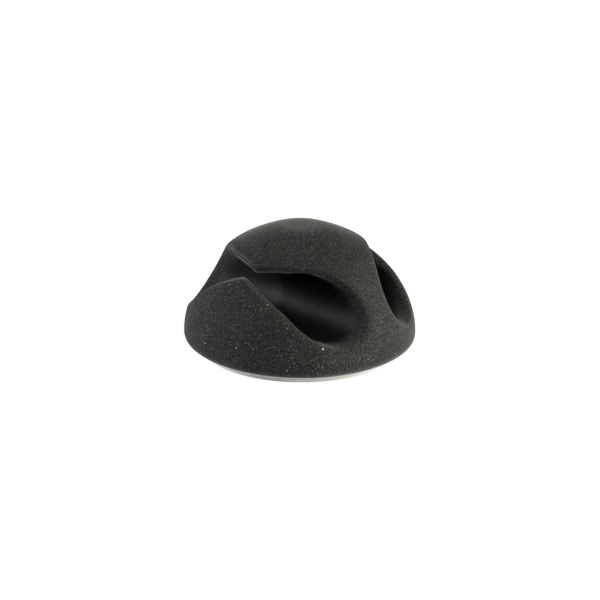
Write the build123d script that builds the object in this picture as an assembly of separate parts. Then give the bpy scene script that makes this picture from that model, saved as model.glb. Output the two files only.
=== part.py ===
from build123d import *

import math
import os

# Adhesive cable clip: a soft black rubber dome on a round foam pad that sticks to
# the desk. Two parallel cable channels run through the dome. Each channel is a
# bore that opens along its whole length through a slit, narrow at mid-length and
# wide at both mouths, so that a cable is pressed in from the side and held.
# Millimetres, +Z up, +X along both channels, origin at the centre of the pad's
# underside. Channel one lies on the -Y side. Channel two is its mirror image on
# the +Y side.

# Dome and pad
DOME_DIAMETER = 30.0
DOME_HEIGHT = 15.3
FOOT_ROUND = 1.0
PAD_INSET = 2.05
PAD_THICKNESS = 1.1

# Outline of the dome above its foot, as shares of its radius and of its height
OUTLINE_SHARES = [
    (0.943, 0.336),
    (0.798, 0.600),
    (0.575, 0.826),
    (0.283, 0.967),
]

# Bores: each widens from a throat at mid-length to both mouths, which also lie a
# little lower and nearer to the middle. The mouth's sizes hold at the far end of
# the cut, which goes past the dome by a margin, so that it leaves no skin there.
THROAT_DIAMETER = 6.4
MOUTH_FLARE = 1.4
MOUTH_DROP = 0.45
MOUTH_DRIFT = 0.22
CUT_MARGIN = 1.0

# Slits: where their middle breaks through the dome, as a share of the way along
# its outline from the foot to the top, their tilt above level, and the wall
# between bore and dome there. These place the bores.
SLIT_PLACE = 0.522
SLIT_TILT = 45.0
LIP_WALL = 1.55

# Half the slit's width as shares of the bore's radius. Each row is a share of the
# way from the throat to the mouth, then the half-width on the side of the middle
# cap and on the side of the outer lobe. The lobe's tip lies off mid-length.
SLIT_SHARES = [
    (0.0, 0.21, 0.18),
    (0.1875, 0.50, 0.52),
    (0.3125, 0.62, 0.70),
    (0.5625, 0.74, 0.92),
    (1.0, 0.84, 0.97),
]
LOBE_SHIFT = -0.4

# Rounding of the lips: of their tips, seen from outside, and all round each
# opening, where the lips and the mouths meet the dome
CAP_TIP_ROUND = 1.5
LOBE_TIP_ROUND = 1.0
LIP_ROUND = 0.6

DOME_RADIUS = DOME_DIAMETER / 2
PAD_RADIUS = DOME_RADIUS - PAD_INSET
FOOT_LEVEL = PAD_THICKNESS
THROAT_RADIUS = THROAT_DIAMETER / 2
MOUTH_RADIUS = THROAT_RADIUS + MOUTH_FLARE
CUT_REACH = DOME_RADIUS + CUT_MARGIN


def dome_outline():
    """Curve from the dome's waist to its top, across and up."""
    shoulders = [
        (DOME_RADIUS * across, FOOT_LEVEL + DOME_HEIGHT * up)
        for across, up in OUTLINE_SHARES
    ]
    waist = (DOME_RADIUS, FOOT_LEVEL + FOOT_ROUND)
    top = (0, FOOT_LEVEL + DOME_HEIGHT)
    return Spline(waist, *shoulders, top, tangents=[(0, 1), (-1, 0)])


def dome():
    """Rubber dome without its channels: its outline turned about Z."""
    foot = (DOME_RADIUS - FOOT_ROUND, FOOT_LEVEL)
    with BuildPart() as part:
        with BuildSketch(Plane.XZ):
            with BuildLine():
                outline = dome_outline()
                RadiusArc(foot, outline @ 0, -FOOT_ROUND)
                Polyline(outline @ 1, (0, FOOT_LEVEL), foot)
            make_face()
        revolve(axis=Axis.Z)
    return part.part


def throat_centre():
    """Distance from the middle and level of the bores' axes at mid-length."""
    tilt = math.radians(SLIT_TILT)
    breakout = dome_outline() @ SLIT_PLACE
    depth = THROAT_RADIUS + LIP_WALL
    return breakout.X - depth * math.cos(tilt), breakout.Y - depth * math.sin(tilt)


def half_bore():
    """Tapered bore of channel one, from the throat at X 0 out past the +X mouth."""
    offset, level = throat_centre()
    with BuildPart() as part:
        with BuildSketch(Plane.YZ):
            with Locations((-offset, level)):
                Circle(THROAT_RADIUS)
        with BuildSketch(Plane.YZ.offset(CUT_REACH)):
            with Locations((MOUTH_DRIFT - offset, level - MOUTH_DROP)):
                Circle(MOUTH_RADIUS)
        loft(ruled=True)
    return part.part


def slit_side(column, side, tip_round):
    """Half of the slit's outline, from its middle line to the edges of two lips."""
    edge = []
    for row in SLIT_SHARES:
        along = row[0]
        bore_radius = THROAT_RADIUS + MOUTH_FLARE * along
        edge.append((CUT_REACH * along, side * bore_radius * row[column]))
    with BuildSketch() as outline:
        with BuildLine():
            Spline(*edge)
            Polyline(edge[-1], (CUT_REACH, 0), (0, 0), edge[0])
        make_face()
        mirror(about=Plane.YZ)
        tip = outline.vertices().sort_by(lambda point: abs(point.X) - abs(point.Y))[0]
        fillet(tip, tip_round)
    return outline.sketch


def slit():
    """Bow-tie slit of channel one, cut outward from the bore's axis."""
    tilt = math.radians(SLIT_TILT)
    offset, level = throat_centre()
    plane = Plane(
        origin=(0, -offset, level),
        x_dir=(1, 0, 0),
        z_dir=(0, -math.cos(tilt), math.sin(tilt)),
    )
    cap_side = slit_side(1, 1, CAP_TIP_ROUND)
    lobe_side = slit_side(2, -1, LOBE_TIP_ROUND)
    outline = cap_side + Pos(LOBE_SHIFT, 0) * lobe_side
    return extrude(plane * outline, amount=DOME_RADIUS)


def channel():
    """Channel one: a bore of two like halves, and its slit."""
    half = half_bore()
    return half + half.mirror(Plane.YZ) + slit()


def opening_edges(body):
    """Edges in which the channels break through the outside of the dome."""
    outside = body.faces().sort_by(SortBy.AREA)[-1]
    above_foot = FOOT_LEVEL + 1.5 * FOOT_ROUND
    return [
        edge
        for edge in outside.edges()
        if abs(edge.center().Y) > FOOT_ROUND / 2 and edge.center().Z > above_foot
    ]


def lip_round():
    """Rounding of the openings, at most half the wall at the lips or the foot."""
    mouth_bottom = throat_centre()[1] - MOUTH_DROP - MOUTH_RADIUS
    foot_wall = mouth_bottom - FOOT_LEVEL - FOOT_ROUND
    return min(LIP_ROUND, LIP_WALL / 2, foot_wall / 2)


def rubber_body():
    """Dome with both channels cut through it and their openings rounded."""
    first = channel()
    body = dome() - first - first.mirror(Plane.XZ)
    return body.fillet(lip_round(), opening_edges(body))


def adhesive_pad():
    """Foam disc with adhesive on both sides, under the dome."""
    return Pos(0, 0, PAD_THICKNESS / 2) * Cylinder(PAD_RADIUS, PAD_THICKNESS)


os.makedirs("parts", exist_ok=True)
export_step(rubber_body(), "parts/rubber_body.step")
export_step(adhesive_pad(), "parts/adhesive_pad.step")
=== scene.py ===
import math

import bpy
from mathutils import Matrix, Vector


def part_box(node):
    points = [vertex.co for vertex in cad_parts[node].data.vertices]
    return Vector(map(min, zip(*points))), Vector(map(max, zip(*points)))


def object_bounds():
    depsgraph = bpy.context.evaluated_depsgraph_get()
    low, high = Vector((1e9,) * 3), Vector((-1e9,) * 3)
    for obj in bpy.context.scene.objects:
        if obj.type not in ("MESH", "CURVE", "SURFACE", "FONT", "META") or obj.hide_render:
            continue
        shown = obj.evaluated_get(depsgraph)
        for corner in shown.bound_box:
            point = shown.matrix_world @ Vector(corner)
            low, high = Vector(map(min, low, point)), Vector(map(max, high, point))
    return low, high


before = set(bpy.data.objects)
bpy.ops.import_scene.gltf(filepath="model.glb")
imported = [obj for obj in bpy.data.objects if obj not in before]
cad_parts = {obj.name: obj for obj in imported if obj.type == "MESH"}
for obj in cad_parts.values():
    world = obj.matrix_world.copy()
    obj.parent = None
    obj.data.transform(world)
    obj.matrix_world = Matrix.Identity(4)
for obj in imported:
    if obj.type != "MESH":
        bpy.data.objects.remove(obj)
cad_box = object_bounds()

# Rubber dome
# One moulding of soft black rubber with two cable channels. Its spark-textured mould left a dull
# grain that holds pale dust. Polished cores, which met at mid-length, left smoother walls in the
# channels, which are painted darker as shade. The rounded lips carry a painted highlight.

# The middle of the dome's foot, and how far the dome reaches from there along each axis
dome_low, dome_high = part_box("rubber_body")
DOME_FOOT = (0, 0, dome_low.z)
DOME_REACH = (dome_high.x, dome_high.x, dome_high.z - dome_low.z)

# Colours of the rubber in the pits and on the peaks of its grain, of painted shade in the channels
# (also used for the scratch), of the painted highlight on the lips, and of thin and thick dust
RUBBER_PIT = (0.0042, 0.0043, 0.0040, 1)
RUBBER_PEAK = (0.0172, 0.0174, 0.0162, 1)
RUBBER_SHADE_AND_SCRATCH = (0.0012, 0.0012, 0.0011, 1)
RUBBER_LIP_HIGHLIGHT = (0.034, 0.035, 0.032, 1)
DUST_THIN = (0.090, 0.092, 0.084, 1)
DUST_THICK = (0.38, 0.38, 0.35, 1)


def join(tree, value, socket):
    """Feed a socket with another node's socket or with a plain value."""
    if isinstance(value, bpy.types.NodeSocket):
        tree.links.new(value, socket)
    else:
        socket.default_value = value


def feed(tree, made, **inputs):
    """Feed several sockets of a node, each named with underscores for its spaces."""
    for socket, value in inputs.items():
        join(tree, value, made.inputs[socket.replace("_", " ")])


def node(tree, kind, label, **inputs):
    """One shader node with its name and what feeds its sockets."""
    made = tree.nodes.new(kind)
    made.name = label
    made.label = label
    feed(tree, made, **inputs)
    return made


def maths(tree, operation, label, first, second):
    """A math node on two values."""
    made = node(tree, "ShaderNodeMath", label)
    made.operation = operation
    join(tree, first, made.inputs[0])
    join(tree, second, made.inputs[1])
    return made.outputs[0]


def product(tree, label, *masks):
    """Several masks multiplied together."""
    result = masks[0]
    for mask in masks[1:]:
        result = maths(tree, "MULTIPLY", label, result, mask)
    return result


def vector_maths(tree, operation, label, *vectors):
    """A vector math node on one or two vectors."""
    made = node(tree, "ShaderNodeVectorMath", label)
    made.operation = operation
    for vector, socket in zip(vectors, made.inputs):
        join(tree, vector, socket)
    gives_number = operation in ("DISTANCE", "DOT_PRODUCT", "LENGTH")
    return made.outputs["Value" if gives_number else "Vector"]


def along_axes(tree, label, vector):
    """The parts of a vector along X, Y and Z."""
    return node(tree, "ShaderNodeSeparateXYZ", label, Vector=vector).outputs


def ramp(tree, label, value, span, start=0.0, end=1.0):
    """A smooth step of a value over a span, from start to end."""
    made = node(tree, "ShaderNodeMapRange", label, From_Min=span[0], From_Max=span[1])
    made.interpolation_type = "SMOOTHSTEP"
    feed(tree, made, Value=value, To_Min=start, To_Max=end)
    return made.outputs["Result"]


def blend_colour(tree, label, mask, first, second):
    """Two colours mixed by a mask."""
    made = node(tree, "ShaderNodeMix", label)
    made.data_type = "RGBA"
    join(tree, mask, made.inputs["Factor"])
    colours = [socket for socket in made.inputs if socket.type == "RGBA"]
    join(tree, first, colours[0])
    join(tree, second, colours[1])
    return next(socket for socket in made.outputs if socket.type == "RGBA")


def noise(tree, label, place, scale, detail=2.0, roughness=0.5):
    """Noise over the surface, with its scale in bumps per metre."""
    made = node(tree, "ShaderNodeTexNoise", label, Vector=place)
    feed(tree, made, Scale=scale, Detail=detail, Roughness=roughness)
    return made.outputs["Fac"]


def new_finish(name):
    """A new material with its node tree and its main shader."""
    material = bpy.data.materials.new(name)
    material.use_nodes = True
    tree = material.node_tree
    return material, tree, tree.nodes["Principled BSDF"]


# How far out a point lies, where 1 is the outside of the dome. Below the first share the rubber
# counts as the wall of a channel, and past the second as the outside.
SKIN_SPAN = (0.80, 0.965)


def dome_place(tree, place):
    """Shares of the dome's reach, how far out they lie, and the way straight out."""
    from_foot = vector_maths(tree, "SUBTRACT", "from the foot's middle", place, DOME_FOOT)
    shares = vector_maths(tree, "DIVIDE", "shares of the dome", from_foot, DOME_REACH)
    outward = vector_maths(tree, "LENGTH", "1 at the outside of the dome", shares)
    slope = vector_maths(tree, "DIVIDE", "slope of the dome", shares, DOME_REACH)
    straight_out = vector_maths(tree, "NORMALIZE", "straight out of the dome", slope)
    return shares, outward, straight_out


def by_skin(tree, label, skin, cored, outside):
    """A value that changes from the walls of the channels to the outside of the dome."""
    return ramp(tree, label, skin, (0, 1), cored, outside)


# Grain and the worn patches in it
GRAIN = {"scale": 4600, "detail": 2, "roughness": 0.6}
GRAIN_SPAN = (0.36, 0.66)
PATCHES = {"scale": 230, "detail": 3, "roughness": 0.55}
PATCH_SPAN = (0.3, 0.7)
PATCH_LEAST = 0.65

# Tone: painted light, paler towards the right front, and painted shade, darker on top
RIGHT_FRONT = (0.97, 0.24, 0)
PAINTED_LIGHT_SPAN = (0.0075, 0.0125)
PAINTED_LIGHT = 1.3
PAINTED_SHADE_SPAN = (0.0125, 0.016)
PAINTED_SHADE = 0.9


def painted_light_and_shade(tree, place, along):
    """How much paler or darker the dome is painted, as light at the right front and shade on top.
    """
    side = vector_maths(tree, "DOT_PRODUCT", "towards the right front", place, RIGHT_FRONT)
    paler = ramp(tree, "painted light at the right front", side, PAINTED_LIGHT_SPAN, 1.0, PAINTED_LIGHT)
    darker = ramp(tree, "painted shade on top", along["Z"], PAINTED_SHADE_SPAN, 1.0, PAINTED_SHADE)
    return product(tree, "tone", paler, darker)


def grained_colour(tree, place, grain, tone):
    """Black rubber, paler on its grain's peaks and less so in worn patches, with painted light and
    shade.
    """
    mottled = ramp(tree, "grain colour", grain, GRAIN_SPAN)
    patches = noise(tree, "worn patches", place, **PATCHES)
    patchy = ramp(tree, "patches", patches, PATCH_SPAN, PATCH_LEAST, 1.0)
    mottled = product(tree, "grain with its tone", mottled, patchy, tone)
    return blend_colour(tree, "outside colour", mottled, RUBBER_PIT, RUBBER_PEAK)


# Dust: its specks per metre, the share of them that shows and how much of its cell each may fill,
# and where they gather
FINE_DUST = {"scale": 4800, "share": 0.5, "size": 0.44}
COARSE_DUST = {"scale": 2200, "share": 0.2, "size": 0.2}
SPECK_EDGE = (0.0, 0.08)
CLOUD_SCALE = 340
CLOUD_SPAN = (0.35, 0.65)
CLOUD_LEAST = 0.3
LOBE_SPAN = (0.08, 0.5)
LOBE_LEAST = 0.55
FOOT_SPAN = (0.003, 0.008)
FOOT_MORE = 0.5


def specks(tree, label, place, scale, share, size):
    """Small round specks, one in a given share of the cells of a Voronoi pattern."""
    cells = node(tree, "ShaderNodeTexVoronoi", label, Vector=place, Scale=scale)
    draw = node(tree, "ShaderNodeSeparateColor", label + " by chance", Color=cells.outputs["Color"])
    chosen = maths(tree, "GREATER_THAN", label + " chosen", draw.outputs["Red"], 1 - share)
    spread = product(tree, label + " size", draw.outputs["Green"], size)
    near = maths(tree, "SUBTRACT", label + " edge", spread, cells.outputs["Distance"])
    inside = ramp(tree, label + " shape", near, SPECK_EDGE)
    return product(tree, label + " mask", inside, chosen)


def dusty_colour(tree, place, along, shares, colour):
    """Pale dust over a colour, most of it on the lobes and near the foot."""
    clouds = noise(tree, "where dust gathers", place, CLOUD_SCALE)
    gathers = ramp(tree, "gathering", clouds, CLOUD_SPAN, CLOUD_LEAST, 1.0)
    across = along_axes(tree, "share of the dome along each axis", shares)["Y"]
    across = product(tree, "share across, squared", across, across)
    on_lobes = ramp(tree, "more on the lobes", across, LOBE_SPAN, LOBE_LEAST, 1.0)
    at_foot = ramp(tree, "more near the foot", along["Z"], FOOT_SPAN, FOOT_MORE, 0.0)
    most = maths(tree, "ADD", "lobes and foot", on_lobes, at_foot)
    kinds = (("fine dust", FINE_DUST, DUST_THIN), ("coarse dust", COARSE_DUST, DUST_THICK))
    for name, dust, pale in kinds:
        lying = specks(tree, name, place, **dust)
        lying = product(tree, name + " gathered", lying, gathers, most)
        colour = blend_colour(tree, "with " + name, lying, colour, pale)
    return colour


# One bright speck below the front mouth, and a faint scratch on the cap
LONE_SPECK = {
    "start": (0.01147, -0.00892, 0.00502),
    "end": (0.01153, -0.00887, 0.00502),
    "width": 0.00012,
}
SCRATCH = {
    "start": (-0.00046, -0.00654, 0.0149),
    "end": (-0.00059, -0.00526, 0.01545),
    "width": 0.00014,
}
SCRATCH_DEPTH = 0.65
STROKE_CORE = 0.4


def stroke(tree, label, place, start, end, width):
    """A short straight mark on the surface between two points, fading over its width."""
    run = Vector(end) - Vector(start)
    ahead = run.normalized()
    from_start = vector_maths(tree, "SUBTRACT", label + " from its start", place, start)
    within = vector_maths(tree, "DOT_PRODUCT", label + " along", from_start, ahead)
    within = maths(tree, "MAXIMUM", label + " past its start", within, 0)
    within = maths(tree, "MINIMUM", label + " before its end", within, run.length)
    nearest = vector_maths(tree, "MULTIPLY", label + " nearest point", within, ahead)
    apart = vector_maths(tree, "DISTANCE", label + " distance", from_start, nearest)
    return ramp(tree, label + " mark", apart, (width * STROKE_CORE, width), 1.0, 0.0)


# Painted highlights on the lips: how far they turn off the dome where they start and where they
# end (as cosines), how near the outside they lie, and where along the clip they are painted
LIP_START = (0.92, 0.985)
LIP_END = (0.55, 0.85)
LIP_DEPTH = (0.955, 0.98)
LIP_ABOVE_FOOT = (0.003, 0.004)
LIP_UPPER = (0.0065, 0.0105)
LIP_CHANNEL_TWO = (0, 0.001)
LIP_FRONT_HALF = (0, 0.003)
LIP_FRONT_MOUTH = (-0.003, 0.004)
LIP_FRONT_WEAR = 0.15
LIP_FACING_UP = (-0.1, 0.5)
LIP_HIGHLIGHT = 0.8


def lip_highlights(tree, along, outward, straight_out):
    """Mask of the painted highlight on the rounded lips' upper edges and channel two's front,
    facing up.
    """
    facing = node(tree, "ShaderNodeNewGeometry", "surface").outputs["Normal"]
    turned = vector_maths(tree, "DOT_PRODUCT", "turned off the dome", facing, straight_out)
    onto = ramp(tree, "onto the lip", turned, LIP_START, 1.0, 0.0)
    off = ramp(tree, "off the lip", turned, LIP_END)
    outside = ramp(tree, "edge of the wall", outward, LIP_DEPTH)
    above_foot = ramp(tree, "above the foot", along["Z"], LIP_ABOVE_FOOT)
    upper = ramp(tree, "upper edges", along["Z"], LIP_UPPER)
    second = ramp(tree, "channel two", along["Y"], LIP_CHANNEL_TWO)
    front_half = ramp(tree, "front half", along["X"], LIP_FRONT_HALF)
    second_front = product(tree, "front of channel two", second, front_half)
    lit_edges = maths(tree, "MAXIMUM", "upper, or front of channel two", upper, second_front)
    mouth = ramp(tree, "less at the front", along["X"], LIP_FRONT_MOUTH, 1.0, LIP_FRONT_WEAR)
    mouth = maths(tree, "MAXIMUM", "of channel one only", mouth, second)
    upward = along_axes(tree, "facing along each axis", facing)["Z"]
    upward = ramp(tree, "facing up", upward, LIP_FACING_UP, 0.0, LIP_HIGHLIGHT)
    return product(tree, "lip highlights mask", onto, off, outside, above_foot, lit_edges, mouth, upward)


# Gloss: dull with a soft bloom outside, smoother in the channels and best polished at their front
SKIN_ROUGHNESS = 0.8
SKIN_GLOSS = 0.18
SKIN_BLOOM = 0.23
BLOOM_ROUGHNESS = 0.35
CATCH_LEAST = 0.78
CATCH_MOST = 1.22
CORED_ROUGHNESS = 0.45
POLISH_SPAN = (-0.003, 0.006)
POLISH_BACK = 0.06
POLISH_FRONT = 0.18


def rubber_gloss(tree, along, skin, grain, tone, scratch):
    """How strongly the rubber shines, and how strongly its surface blooms at a flat angle."""
    catches = ramp(tree, "grain catches light", grain, GRAIN_SPAN, CATCH_LEAST, CATCH_MOST)
    unscratched = maths(tree, "SUBTRACT", "off the scratch", 1, scratch)
    catches = product(tree, "catches light", catches, tone, unscratched)
    gloss = by_skin(tree, "gloss outside", skin, 0.0, SKIN_GLOSS)
    gloss = product(tree, "gloss of the grain", gloss, catches)
    polish = ramp(tree, "best at the front", along["X"], POLISH_SPAN, POLISH_BACK, POLISH_FRONT)
    cored = product(tree, "gloss in the channels", polish, by_skin(tree, "cored", skin, 1.0, 0.0))
    gloss = maths(tree, "ADD", "gloss", gloss, cored)
    bloom = by_skin(tree, "bloom outside", skin, 0.0, SKIN_BLOOM)
    return gloss, product(tree, "bloom", bloom, catches)


# Relief of the grain, and how far the soft seam between channel and outside spreads
GRAIN_RELIEF = {"Strength": 0.4, "Distance": 0.00009}
SEAM_SPREAD = 0.0015


def rubber_relief(tree, skin, grain):
    """Normal of the grained surface, with soft edges where the channels meet the outside."""
    soft = node(tree, "ShaderNodeBevel", "softened seam", Radius=SEAM_SPREAD)
    bump = node(tree, "ShaderNodeBump", "grain bump", **GRAIN_RELIEF)
    height = product(tree, "grain outside", grain, skin)
    feed(tree, bump, Height=height, Normal=soft.outputs["Normal"])
    return bump.outputs["Normal"]


def rubber_finish():
    """Dull grained rubber outside; smoother rubber in the channels, painted darker as shade."""
    material, tree, shader = new_finish("moulded_rubber")
    place = node(tree, "ShaderNodeTexCoord", "where").outputs["Object"]
    along = along_axes(tree, "where along each axis", place)
    shares, outward, straight_out = dome_place(tree, place)
    skin = ramp(tree, "outside of the dome", outward, SKIN_SPAN)
    grain = noise(tree, "grain", place, **GRAIN)
    # Painted light towards the right front and painted shade on top
    tone = painted_light_and_shade(tree, place, along)
    scratch = stroke(tree, "scratch", place, **SCRATCH)
    scratch = product(tree, "faint scratch", scratch, SCRATCH_DEPTH)
    speck = stroke(tree, "lone speck", place, **LONE_SPECK)
    # Mask of the painted highlight on the rounded lips
    worn = lip_highlights(tree, along, outward, straight_out)

    colour = grained_colour(tree, place, grain, tone)
    colour = dusty_colour(tree, place, along, shares, colour)
    colour = blend_colour(tree, "with the scratch", scratch, colour, RUBBER_SHADE_AND_SCRATCH)
    colour = blend_colour(tree, "with the lone speck", speck, colour, DUST_THICK)
    # The channel walls take the darkest colour as painted shade
    colour = blend_colour(tree, "channel or outside", skin, RUBBER_SHADE_AND_SCRATCH, colour)
    # Painted highlight on the rounded lips
    colour = blend_colour(tree, "with painted lip highlights", worn, colour, RUBBER_LIP_HIGHLIGHT)

    roughness = by_skin(tree, "roughness", skin, CORED_ROUGHNESS, SKIN_ROUGHNESS)
    gloss, bloom = rubber_gloss(tree, along, skin, grain, tone, scratch)
    feed(tree, shader, Base_Color=colour, Roughness=roughness, Specular_IOR_Level=gloss)
    feed(tree, shader, Sheen_Weight=bloom, Sheen_Roughness=BLOOM_ROUGHNESS)
    feed(tree, shader, Normal=rubber_relief(tree, skin, grain))
    return material


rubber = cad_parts["rubber_body"]
rubber.data.materials.clear()
rubber.data.materials.append(rubber_finish())

# Adhesive pad
# The pad is a disc die-cut from closed-cell foam tape, sticky on both faces. It is stuck to the
# dome's flat underside and holds the clip to the desk. Its cut edge shows the foam's small cells
# and is painted darker as shade below the front mouths.

FOAM_LIGHT = (0.84, 0.84, 0.84, 1)
FOAM_DARK = (0.66, 0.66, 0.66, 1)
# Painted shade for the pad's edge below the front mouths
FOAM_SHADED = (0.50, 0.50, 0.51, 1)
FOAM_ROUGHNESS = 0.9
FOAM_GLOSS = 0.2
CELL_SCALE = 6500
CELL_SPAN = (0.15, 0.6)
CELL_RELIEF = {"Strength": 0.5, "Distance": 0.00006}
DENSITY_SCALE = 900
SHADE_SPAN = (0.0073, 0.0122)


def foam_finish():
    """Off-white foam with small cells along its cut edge and painted shade below the front mouths.
    """
    material, tree, shader = new_finish("adhesive_foam")
    place = node(tree, "ShaderNodeTexCoord", "where").outputs["Object"]
    cells = node(tree, "ShaderNodeTexVoronoi", "cells", Vector=place, Scale=CELL_SCALE)
    hollow = ramp(tree, "hollow cells", cells.outputs["Distance"], CELL_SPAN)
    density = noise(tree, "density", place, DENSITY_SCALE)
    shade = product(tree, "shade of cells", hollow, density)
    colour = blend_colour(tree, "foam colour", shade, FOAM_LIGHT, FOAM_DARK)
    front = along_axes(tree, "where along each axis", place)["X"]
    # Painted shade below the front mouths
    shaded = ramp(tree, "painted shade below the front mouths", front, SHADE_SPAN)
    colour = blend_colour(tree, "with its painted shade", shaded, colour, FOAM_SHADED)
    bump = node(tree, "ShaderNodeBump", "cell bump", **CELL_RELIEF)
    feed(tree, bump, Height=cells.outputs["Distance"])
    feed(tree, shader, Base_Color=colour, Normal=bump.outputs["Normal"])
    feed(tree, shader, Roughness=FOAM_ROUGHNESS, Specular_IOR_Level=FOAM_GLOSS)
    return material


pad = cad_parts["adhesive_pad"]
pad.data.materials.clear()
pad.data.materials.append(foam_finish())

# Floor and backdrop
# A white sheet under and behind the clip. The camera sees it as pure white, with only a faint
# shadow left where the clip stands.

FLOOR_SIZE = 1.2
FLOOR_COLOUR = (0.86, 0.86, 0.86, 1)
FLOOR_ROUGHNESS = 0.9
FLOOR_SHADOW = 0.16
FLOOR_FADE = (0.03, 0.12)
FLOOR_WHITE = 1.12


def mix_shaders(tree, label, mask, first, second):
    """Two shaders mixed by a mask."""
    made = node(tree, "ShaderNodeMixShader", label, Fac=mask)
    join(tree, first.outputs[0], made.inputs[1])
    join(tree, second.outputs[0], made.inputs[2])
    return made.outputs["Shader"]


def floor_finish():
    """Pale floor that shows white to the camera and in gloss, and keeps some of the shadow."""
    material, tree, shader = new_finish("white_sheet")
    feed(tree, shader, Base_Color=FLOOR_COLOUR, Roughness=FLOOR_ROUGHNESS, Specular_IOR_Level=0)
    white = node(tree, "ShaderNodeEmission", "white to the camera", Strength=FLOOR_WHITE)
    looks = node(tree, "ShaderNodeLightPath", "who looks").outputs
    seen = maths(tree, "MAXIMUM", "camera or gloss", looks["Is Camera Ray"], looks["Is Glossy Ray"])
    seen = maths(tree, "MAXIMUM", "or through glass", seen, looks["Is Transmission Ray"])
    place = node(tree, "ShaderNodeTexCoord", "where").outputs["Object"]
    away = vector_maths(tree, "LENGTH", "away from the clip", place)
    plain = ramp(tree, "plain white far off", away, FLOOR_FADE, 1 - FLOOR_SHADOW, 1.0)
    share = product(tree, "share of white", seen, plain)
    sheet = mix_shaders(tree, "sheet", share, shader, white)
    feed(tree, tree.nodes["Material Output"], Surface=sheet)
    return material


bpy.ops.mesh.primitive_plane_add(size=FLOOR_SIZE)
floor = bpy.context.object
floor.name = "white_sheet"
floor.data.materials.append(floor_finish())

# Light
# Two large soft lamps stand low on either side of the clip, the stronger one behind it on the
# right, and leave its front in half shade. The room itself gives little light and looks white.

WHITE = (1, 1, 1, 1)
ROOM_LIGHT = 0.03
LAMPS = {
    "right_softbox": {
        "at": (0.3245, 0.1054, 0.1755),
        "size": 0.25,
        "power": 3.6,
        "colour": (1, 1, 0.91),
    },
    "left_softbox": {
        "at": (-0.2659, -0.2231, 0.1626),
        "size": 0.25,
        "power": 1.9,
        "colour": (1, 1, 1),
    },
}

room = bpy.data.worlds.new("white_room")
bpy.context.scene.world = room
room.use_nodes = True
room_tree = room.node_tree
room_light = room_tree.nodes["Background"]
feed(room_tree, room_light, Color=WHITE, Strength=ROOM_LIGHT)
room_white = node(room_tree, "ShaderNodeBackground", "white to the camera", Color=WHITE, Strength=1)
camera_looks = node(room_tree, "ShaderNodeLightPath", "who looks").outputs["Is Camera Ray"]
room_seen = mix_shaders(room_tree, "room", camera_looks, room_light, room_white)
feed(room_tree, room_tree.nodes["World Output"], Surface=room_seen)

clip_middle = (cad_box[0] + cad_box[1]) / 2
for lamp_name, lamp in LAMPS.items():
    light = bpy.data.lights.new(lamp_name, "AREA")
    light.size = lamp["size"]
    light.energy = lamp["power"]
    light.color = lamp["colour"]
    holder = bpy.data.objects.new(lamp_name, light)
    bpy.context.scene.collection.objects.link(holder)
    holder.location = lamp["at"]
    aim = clip_middle - Vector(lamp["at"])
    holder.rotation_euler = aim.to_track_quat("-Z", "Y").to_euler()

# Camera
# The camera looks down on the clip from the front, with the channels running from the back left
# to the front right. The middle of the dome's foot falls below the middle of the picture.

VIEW_HEIGHT = math.radians(21.54)
VIEW_TURN = math.radians(-49.25)
VIEW_TILT = math.radians(0.62)
VIEW_DISTANCE = 0.3
LENS = 138.47
SENSOR = 36.0
PICTURE = 600
FOOT_PIXEL_BELOW_MIDDLE = 36.12

camera = bpy.data.cameras.new("camera")
camera.lens = LENS
camera.sensor_width = SENSOR
camera_holder = bpy.data.objects.new("camera", camera)
bpy.context.scene.collection.objects.link(camera_holder)
towards_camera = Vector((
    math.cos(VIEW_HEIGHT) * math.cos(VIEW_TURN),
    math.cos(VIEW_HEIGHT) * math.sin(VIEW_TURN),
    math.sin(VIEW_HEIGHT),
))
right = Vector((-math.sin(VIEW_TURN), math.cos(VIEW_TURN), 0))
up = towards_camera.cross(right)
raised = math.atan(FOOT_PIXEL_BELOW_MIDDLE / PICTURE * SENSOR / LENS)
back_raised = towards_camera * math.cos(raised) - up * math.sin(raised)
up_raised = up * math.cos(raised) + towards_camera * math.sin(raised)
right_tilted = right * math.cos(VIEW_TILT) + up_raised * math.sin(VIEW_TILT)
up_tilted = up_raised * math.cos(VIEW_TILT) - right * math.sin(VIEW_TILT)
turned = Matrix((right_tilted, up_tilted, back_raised)).transposed().to_4x4()
turned.translation = Vector(DOME_FOOT) + towards_camera * VIEW_DISTANCE
camera_holder.matrix_world = turned
bpy.context.scene.camera = camera_holder
bpy.context.scene.view_settings.view_transform = "Standard"
